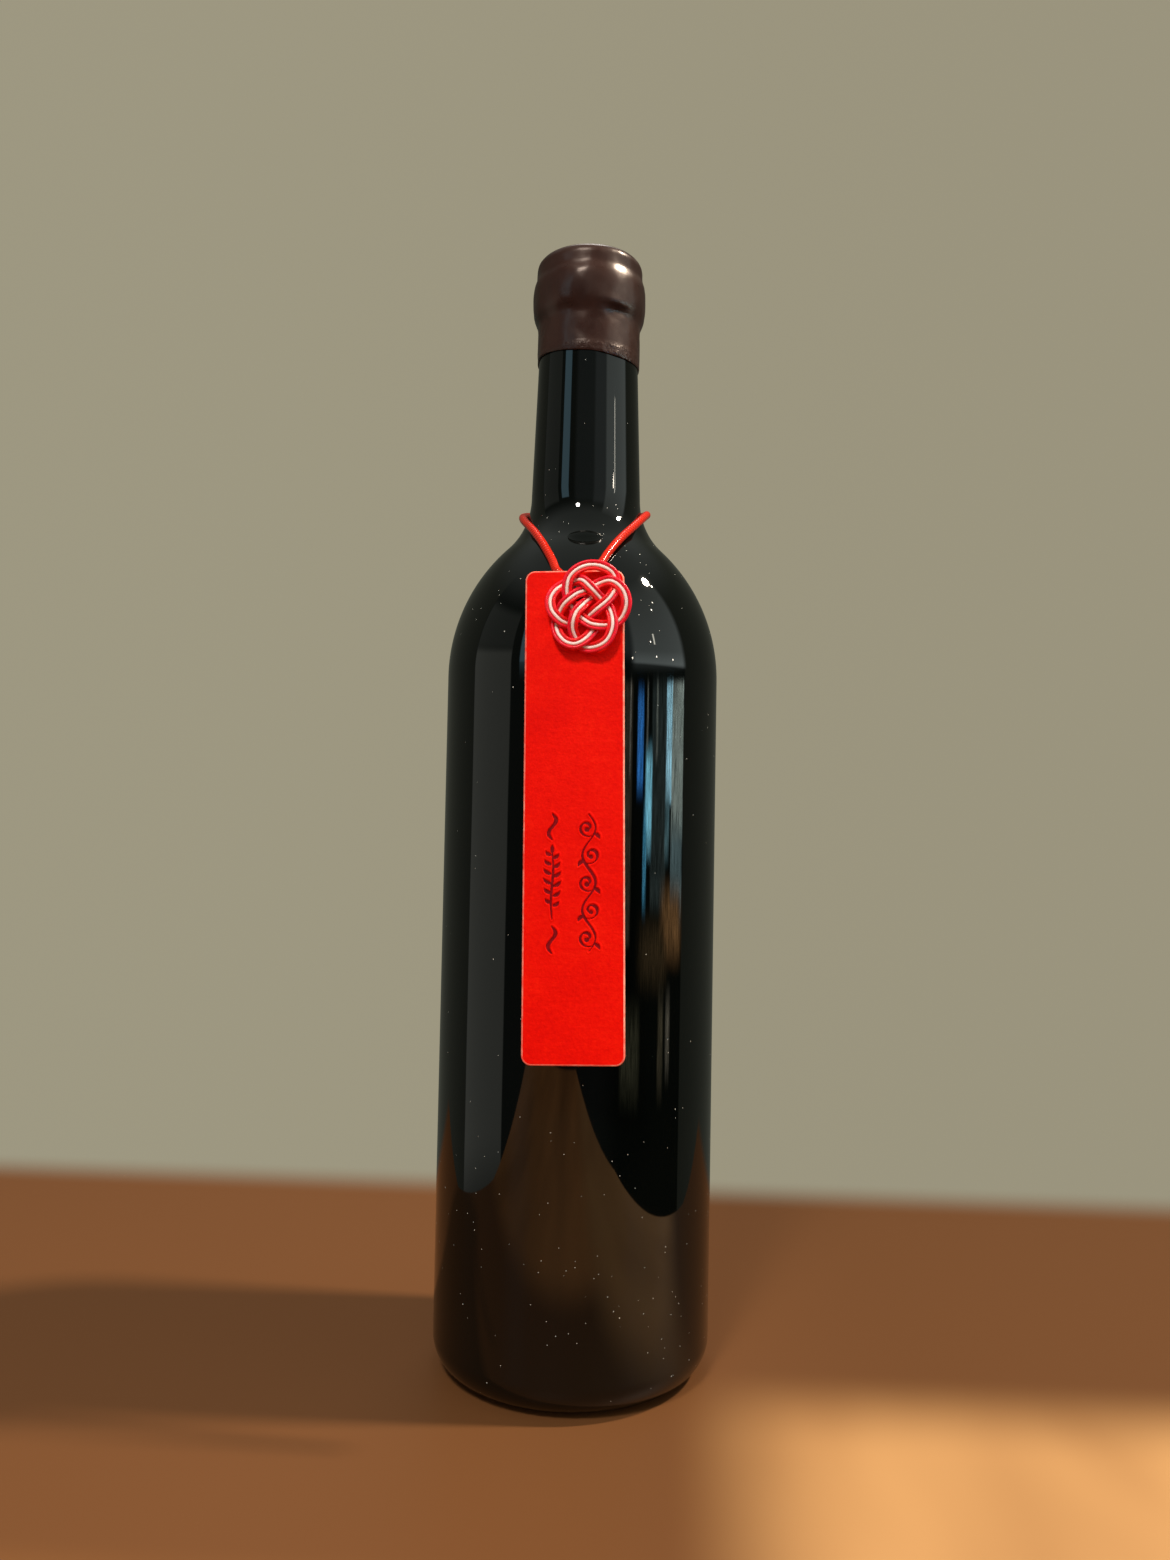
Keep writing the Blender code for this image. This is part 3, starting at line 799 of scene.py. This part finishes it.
def press_ornament(tag):
    """Presses the strokes into the front of the tag, and darkens their bottoms."""
    grid_ornament_place(tag)
    spots, tree = ornament_spots()
    left, right, low, high = ORNAMENT_PLACE
    front = TAG_THICKNESS / 2
    pressed = set()
    for vertex in tag.data.vertices:
        x, y, z = vertex.co
        if abs(z - front) > 0.01 * MM or not (left < x < right and low < y < high):
            continue
        near = [spots[index] for _, index, _ in tree.find_range((x, y, 0.0), STROKE_REACH)]
        if near:
            relief = stroke_relief(Vector((x, y)), near)
            vertex.co.z = front + relief
            if relief < -0.45 * STROKE_DEPTH:
                pressed.add(vertex.index)
    for face in tag.data.polygons:
        if len(pressed.intersection(face.vertices)) * 2 > len(face.vertices):
            face.material_index = PRESSED


def leather_tag():
    deselect_all()
    bpy.ops.mesh.primitive_cube_add(size=1.0, scale=(TAG_WIDTH, TAG_LENGTH, TAG_THICKNESS))
    tag = named("leather_tag")
    bpy.ops.object.transform_apply(location=False, rotation=False, scale=True)
    for finish in (red_leather(), cut_leather_edge(), pressed_leather(), leather_rim_painted_highlight()):
        tag.data.materials.append(finish)

    half = TAG_THICKNESS / 2
    round_edges(tag, lambda start, end: abs(start.z - end.z) > half, TAG_CORNER_RADIUS, 8)
    round_edges(tag, lambda start, end: abs(start.z - end.z) < half, RIM_WIDTH, 4)
    side = half - 0.98 * RIM_WIDTH
    flat = half - 0.01 * RIM_WIDTH
    for face in tag.data.polygons:
        height = abs(face.center.z)
        face.material_index = CUT_EDGE if height < side else RIM if height < flat else COAT

    bpy.ops.mesh.primitive_cylinder_add(vertices=48, radius=TAG_HOLE_RADIUS, depth=3 * TAG_THICKNESS,
                                        location=(0.0, TAG_LENGTH / 2 - TAG_HOLE_DOWN, 0.0))
    punch = named("hole_punch")
    punch.data.materials.append(tag.data.materials[CUT_EDGE])
    cut_out(tag, punch)
    press_ornament(tag)

    tag.matrix_world = tag_place()
    select_only(tag)
    bpy.ops.object.transform_apply(location=True, rotation=True, scale=True)
    bpy.ops.object.shade_smooth_by_angle(angle=math.radians(40.0))
    weighted = tag.modifiers.new("weighted", "WEIGHTED_NORMAL")
    weighted.keep_sharp = True
    bpy.ops.object.modifier_apply(modifier=weighted.name)
    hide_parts("tag")
    return tag


def neck_cord():
    """The cord, its middle line and its length."""
    route = smooth_route([Vector(p) * MM for p in CORD_ROUTE_MM], 6)
    cord = tube("neck_cord_red", route, CORD_DIAMETER / 2, 6)
    # The darker colour lies in the grooves between the turns: painted shade
    cord.data.materials.append(wound_thread("orange_red_cord", (0.36, 0.005, 0.002),
                                            (0.66, 0.022, 0.005), 0.16, 150.0, 0.03 * MM))
    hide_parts("neck_cord")
    length = sum((b - a).length for a, b in zip(route, route[1:]))
    return cord, route, length


def knot_strand(node, name, offset, finish):
    """One strand of the knot, laid beside the band's middle line."""
    route = [Vector(p) * MM for p in KNOT_ROUTE_MM]
    before = [2 * route[0] - route[1]] + route
    after = route[1:] + [2 * route[-1] - route[-2]]
    lowest = min(point.z for point in route)
    lift = TAG_THICKNESS / 2 + KNOT_GAP + STRAND_RADIUS - lowest
    middle = Vector((KNOT_RIGHT, TAG_LENGTH / 2 - KNOT_DOWN, lift))
    place = tag_place()
    points = []
    for point, previous, following in zip(route, before, after):
        along = following - previous
        side = Vector((along.y, -along.x, 0.0)).normalized()
        points.append(place @ (middle + point + side * offset))
    strand = tube(name, smooth_route(points, 5), STRAND_RADIUS, 4)
    strand.data.materials.append(finish)
    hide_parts(node)
    return strand


def plum_knot():
    """The three strands, side by side."""
    strands = []
    for node, name, offset, slot, finish, dark, light in KNOT_STRANDS:
        thread = wound_thread(finish, dark, light, 0.3, 420.0, 0.01 * MM)
        strands.append(knot_strand(node, name, offset, thread))
    return strands


# Studio: camera, floor, surround and lights

# Floor: right and back, anticlockwise from the front left
FLOOR_CORNERS = [(-0.27, -0.42), (0.03, -0.42), (0.13, -0.19), (0.15, -0.10), (0.175, 0.02),
                 (0.26, 0.18), (-0.30, 0.18), (-0.188, 0.02), (-0.18, -0.11)]
FLOOR_COLOR = (0.14, 0.055, 0.019)
# Darker at the right: painted shadow
FLOOR_PAINTED_SHADOW_RIGHT = (0.11, 0.043, 0.014)
# Cloudy colours of its front, with painted light that the glass mirrors, and of the pool of painted
# sunlight at the right
FLOOR_FRONT_PAINTED_LIGHT = [(0.35, (0.24, 0.10, 0.03)), (0.65, (0.44, 0.19, 0.06))]
FLOOR_PAINTED_SUNLIGHT = [(0.35, (0.30, 0.14, 0.05)), (0.65, (0.50, 0.26, 0.10))]

# Room: the front by azimuth, what is behind the bottle, and the ceiling
ROOM_FRONT = (0.036, 0.039, 0.036)
ROOM_FRONT_RIGHT = (0.004, 0.004, 0.004)
ROOM_REAR = (0.088, 0.092, 0.072)
ROOM_CEILING = (0.26, 0.28, 0.26)
# What the camera sees behind the bottle, from left to right
BACKDROP = [(0.340, 0.312, 0.220), (0.325, 0.296, 0.208)]

# Lighter and darker parts of the room: azimuths, elevations, softness and colour
ROOM_PATCHES = [
    ((-98.0, -58.0), (-18.0, 16.0), (0.6, 3.0), (0.40, 0.41, 0.36)),
    ((-98.0, -58.0), (16.0, 36.0), (0.6, 3.0), (0.17, 0.18, 0.16)),
    ((-50.0, -34.0), (9.0, 33.0), (0.6, 1.0), (0.55, 0.95, 1.15)),
    ((-20.0, 20.0), (13.0, 40.0), (5.0, 6.0), (0.11, 0.125, 0.125)),
    ((20.0, 46.0), (12.0, 42.0), (4.0, 6.0), (0.25, 0.28, 0.28)),
]

# Light wall over the window: azimuths, elevations and softness, then its colours by the
# elevation as a share of a span in degrees
WALL_PLACE = ((46.0, 98.0), (9.4, 57.0), (3.0, 1.0))
WALL_SPAN = 60.0
WALL_LIGHT = [(0.16, (1.40, 1.60, 1.55)), (0.27, (0.80, 0.90, 0.86)), (0.42, (0.72, 0.80, 0.76)),
              (0.80, (0.48, 0.52, 0.48)), (0.95, (0.26, 0.28, 0.26))]

# Window panes and what shines through under them: azimuths, elevations, softness and colour
WINDOW_PANES = [
    ((38.0, 46.0), (-6.0, 8.0), (1.0, 0.3), (0.75, 0.65, 0.45)),
    ((64.0, 79.0), (-4.0, 8.0), (0.8, 0.8), (0.45, 0.62, 0.60)),
    ((50.6, 56.0), (2.4, 7.4), (0.6, 0.9), (0.70, 4.20, 12.5)),
    ((58.5, 64.5), (-0.6, 4.2), (0.8, 1.2), (5.50, 15.0, 19.0)),
    ((57.0, 60.0), (-3.6, 1.0), (0.6, 1.4), (1.20, 5.50, 8.50)),
    ((43.6, 44.8), (3.0, 8.0), (0.4, 0.4), (3.00, 2.90, 2.40)),
    ((59.0, 60.2), (4.6, 8.0), (0.4, 0.4), (3.00, 3.20, 2.80)),
    ((68.0, 69.6), (4.0, 8.0), (0.5, 0.5), (2.60, 3.00, 2.60)),
    ((78.5, 85.0), (1.6, 8.0), (0.8, 0.3), (7.50, 14.5, 17.5)),
    ((78.0, 82.5), (-1.0, 2.2), (0.8, 1.0), (1.60, 3.20, 3.60)),
    ((84.5, 97.6), (-0.5, 8.0), (0.6, 0.3), (4.60, 5.60, 5.00)),
    ((84.5, 97.6), (-4.0, 0.4), (0.6, 1.4), (1.50, 2.30, 2.40)),
    ((76.0, 96.0), (-6.2, -3.0), (4.0, 1.2), (3.00, 1.50, 0.55)),
    ((56.0, 80.0), (-7.6, -5.0), (6.0, 1.4), (0.80, 0.50, 0.22)),
    ((40.0, 56.0), (-13.5, -9.6), (2.0, 1.6), (0.60, 0.58, 0.34)),
    ((74.0, 79.0), (-13.0, -8.6), (1.0, 1.4), (0.90, 0.75, 0.45)),
    ((82.0, 86.0), (-12.0, -8.6), (1.0, 1.2), (1.80, 1.60, 1.20)),
]


def camera():
    data = bpy.data.cameras.new("camera")
    data.sensor_width = SENSOR_WIDTH
    data.lens = LENS
    data.clip_start = 0.01
    cam = bpy.data.objects.new("camera", data)
    bpy.context.scene.collection.objects.link(cam)
    cam.matrix_world = (Matrix.Translation(CAMERA_PLACE) @ Matrix.Rotation(CAMERA_YAW, 4, "Z")
                        @ Matrix.Rotation(math.pi / 2 + CAMERA_PITCH, 4, "X")
                        @ Matrix.Rotation(CAMERA_ROLL, 4, "Z"))
    bpy.context.scene.camera = cam


def floor():
    """A warm floor with painted light and shade: a pool of painted sunlight at the front right, a
    painted shadow at the right and painted light over its front.

    Its rear edge melts into the surround. Its front and sides, out of the camera's sight, end
    where the glass mirrors them low down.
    """
    deselect_all()
    bpy.ops.mesh.primitive_circle_add(vertices=len(FLOOR_CORNERS), radius=0.3, fill_type="NGON")
    floor_piece = named("floor")
    for vertex, corner in zip(floor_piece.data.vertices, FLOOR_CORNERS):
        vertex.co = (*corner, 0.0)
    f = Finish("warm_floor", FLOOR_COLOR, 0.45, Specular_IOR_Level=0.2)
    x, y, _ = f.split(f.place.outputs["Object"])
    f.plug(f.fall(y, 0.135, 0.175), f.shader.inputs["Alpha"])
    cloudy = f.noise(9.0, 3.0, 0.5, (1.0, 0.35, 1.0))
    # Its front, lighter: painted light that the glass mirrors
    front = f.ramp(cloudy, FLOOR_FRONT_PAINTED_LIGHT)
    painted_sunlight = f.ramp(cloudy, FLOOR_PAINTED_SUNLIGHT)
    floor_with_painted_shading = f.mix(f.rise(x, -0.02, 0.10), FLOOR_COLOR, FLOOR_PAINTED_SHADOW_RIGHT)
    floor_with_painted_shading = f.mix(f.rise(y, -0.13, -0.09), front, floor_with_painted_shading)
    # Where the pool of painted sunlight lies, at the front right
    painted_sun_pool = f.math("MULTIPLY", f.rise(x, 0.025, 0.065), f.fall(y, -0.045, 0.0))
    f.color(f.mix(painted_sun_pool, floor_with_painted_shading, painted_sunlight))
    floor_piece.data.materials.append(f.mat)


def surround():
    """A plain warm grey background, and the dim room with a window that the glass mirrors."""
    world = bpy.data.worlds.new("surround")
    world.use_nodes = True
    bpy.context.scene.world = world
    n = Nodes(world.node_tree)
    degrees = 180.0 / math.pi
    x, y, z = n.split(n.add("ShaderNodeTexCoord").outputs["Generated"])
    azimuth = n.math("MULTIPLY", n.math("ARCTAN2", x, n.math("MULTIPLY", y, -1.0)), degrees)
    elevation = n.math("MULTIPLY", n.math("ARCSINE", z), degrees)

    def band(value, low, high, soft):
        return n.math("MULTIPLY", n.rise(value, low - soft, low + soft),
                      n.fall(value, high - soft, high + soft))

    def patch(room, azimuths, elevations, soft, color):
        mask = n.math("MULTIPLY", band(azimuth, *azimuths, soft[0]),
                      band(elevation, *elevations, soft[1]))
        return n.mix(mask, room, color)

    # Upright streaks over the panes, as the wavy glass draws them out
    turning = n.add("ShaderNodeCombineXYZ")
    n.plug(n.math("MULTIPLY", azimuth, 1.3), turning.inputs["X"])
    n.plug(n.math("MULTIPLY", elevation, 0.09), turning.inputs["Y"])
    texture = n.add("ShaderNodeTexNoise")
    n.plug(turning.outputs["Vector"], texture.inputs["Vector"])
    texture.inputs["Detail"].default_value = 5.0
    texture.inputs["Roughness"].default_value = 0.7
    streaks = n.ramp(texture.outputs["Fac"], [(0.42, 0.02), (0.5, 0.34), (0.58, 1.15)])

    front = n.mix(n.rise(azimuth, 18.0, 44.0), ROOM_FRONT, ROOM_FRONT_RIGHT)
    room = n.mix(n.rise(n.math("ABSOLUTE", azimuth), 98.0, 99.0), front, ROOM_REAR)
    room = n.mix(n.rise(elevation, 36.0, 60.0), room, ROOM_CEILING)
    for place in ROOM_PATCHES:
        room = patch(room, *place)
    wall_light = n.ramp(n.math("DIVIDE", elevation, WALL_SPAN), WALL_LIGHT)
    room = patch(room, *WALL_PLACE, wall_light)
    for azimuths, elevations, soft, color in WINDOW_PANES:
        streaked = n.mix(1.0, color, streaks, "MULTIPLY")
        room = patch(room, azimuths, elevations, soft, streaked)
    backdrop = n.mix(n.rise(x, -0.5, 0.3), *BACKDROP)
    path = n.add("ShaderNodeLightPath")
    seen = n.mix(path.outputs["Is Camera Ray"], room, backdrop)
    n.plug(seen, world.node_tree.nodes["Background"].inputs["Color"])


# Lamps: colours, the heights on the axis that they aim at, and distances from there
LAMP_COLOR = (1.0, 0.97, 0.90)
GLINT_COLOR = (1.0, 0.88, 0.72)
STREAK_COLOR = (1.0, 0.95, 0.80)
LAMP_AIM_Z = 0.20
LAMP_DISTANCE = 1.5
PANEL_AIM_Z = 0.12
PANEL_DISTANCE = 1.3
# The key lamp and the unmirrored soft lamp in its place: azimuth and elevation, and distance
KEY_PLACE = (-15.0, 47.0)
KEY_DISTANCE = 1.7

# Small bright lamps: name, azimuth, elevation, size and brightness
GLINTS = [
    ("glint_star", 91.0, 52.3, 0.12, 850.0), ("glint_by_star", 94.5, 48.5, 0.03, 110.0),
    ("glint_high", 74.8, 38.2, 0.02, 80.0), ("glint_middle", 63.0, 20.7, 0.02, 80.0),
    ("glint_row_a", 44.7, 11.1, 0.02, 70.0), ("glint_row_b", 67.1, 12.5, 0.02, 70.0),
    ("glint_row_c", 83.7, 11.5, 0.02, 70.0), ("glint_faint_a", 21.4, 48.2, 0.02, 40.0),
    ("glint_faint_b", 55.8, 46.5, 0.02, 40.0), ("glint_faint_c", 80.5, 41.7, 0.02, 40.0),
]


def toward(azimuth_deg, elevation_deg, distance, height):
    """A place in the room at that azimuth and elevation from a point on the bottle's axis."""
    azimuth, elevation = math.radians(azimuth_deg), math.radians(elevation_deg)
    return Vector((distance * math.sin(azimuth) * math.cos(elevation),
                   -distance * math.cos(azimuth) * math.cos(elevation),
                   height + distance * math.sin(elevation)))


def light(name, shape, size, place, brightness, color, aim_z):
    """A soft area light that the camera doesn't see, aimed at a height on the bottle's axis.

    Its brightness is its radiance, where white paper at full light has 1.
    """
    data = bpy.data.lights.new(name, "AREA")
    data.shape = shape
    data.size = size[0]
    area = math.pi * size[0] ** 2 / 4
    if shape == "RECTANGLE":
        data.size_y = size[1]
        area = size[0] * size[1]
    data.energy = brightness * math.pi * area
    data.color = color
    source = bpy.data.objects.new(name, data)
    bpy.context.scene.collection.objects.link(source)
    source.location = place
    source.rotation_mode = "QUATERNION"
    away = place - Vector((0.0, 0.0, aim_z))
    source.rotation_quaternion = away.to_track_quat("Z", "Y")
    source.visible_camera = False
    return source


def panel(name, azimuths, elevations, brightness):
    """An upright soft panel that fills a range of azimuths and elevations."""
    size = [2 * PANEL_DISTANCE * math.tan(math.radians(high - low) / 2)
            for low, high in (azimuths, elevations)]
    place = toward(sum(azimuths) / 2, sum(elevations) / 2, PANEL_DISTANCE, PANEL_AIM_Z)
    light(name, "RECTANGLE", size, place, brightness, STREAK_COLOR, PANEL_AIM_Z)


def lamp(name, azimuth, elevation, size, brightness, color=LAMP_COLOR, distance=LAMP_DISTANCE):
    """A round lamp."""
    place = toward(azimuth, elevation, distance, LAMP_AIM_Z)
    return light(name, "DISK", (size, size), place, brightness, color, LAMP_AIM_Z)


def lights():
    """The key lamp, the lamps that glint in the glass and the wax, and one behind."""
    lamp("lamp_key", *KEY_PLACE, 0.17, 110.0, distance=KEY_DISTANCE)
    soft_key = lamp("lamp_key_soft", *KEY_PLACE, 0.42, 33.0, distance=KEY_DISTANCE)
    fill = lamp("lamp_fill", 4.0, 24.0, 1.1, 1.25, distance=1.4)
    for unmirrored in (soft_key, fill):
        unmirrored.visible_glossy = False
    for name, azimuth, elevation, size, brightness in GLINTS:
        lamp(name, azimuth, elevation, size, brightness, GLINT_COLOR)
    panel("streak_right", (66.0, 67.2), (22.4, 28.2), 10.0)
    panel("streak_middle", (27.4, 28.6), (19.4, 22.4), 5.0)
    lamp("lamp_back", 180.0, 66.0, 0.5, 5.0)


def main():
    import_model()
    bpy.context.scene.view_settings.view_transform = "Standard"
    camera()
    cord, route, length = neck_cord()
    strands = plum_knot()
    pieces = [glass_bottle(), wax_seal(), leather_tag(), cord] + strands
    for piece in pieces:
        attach(piece, "root")
    floor()
    surround()
    lights()


main()
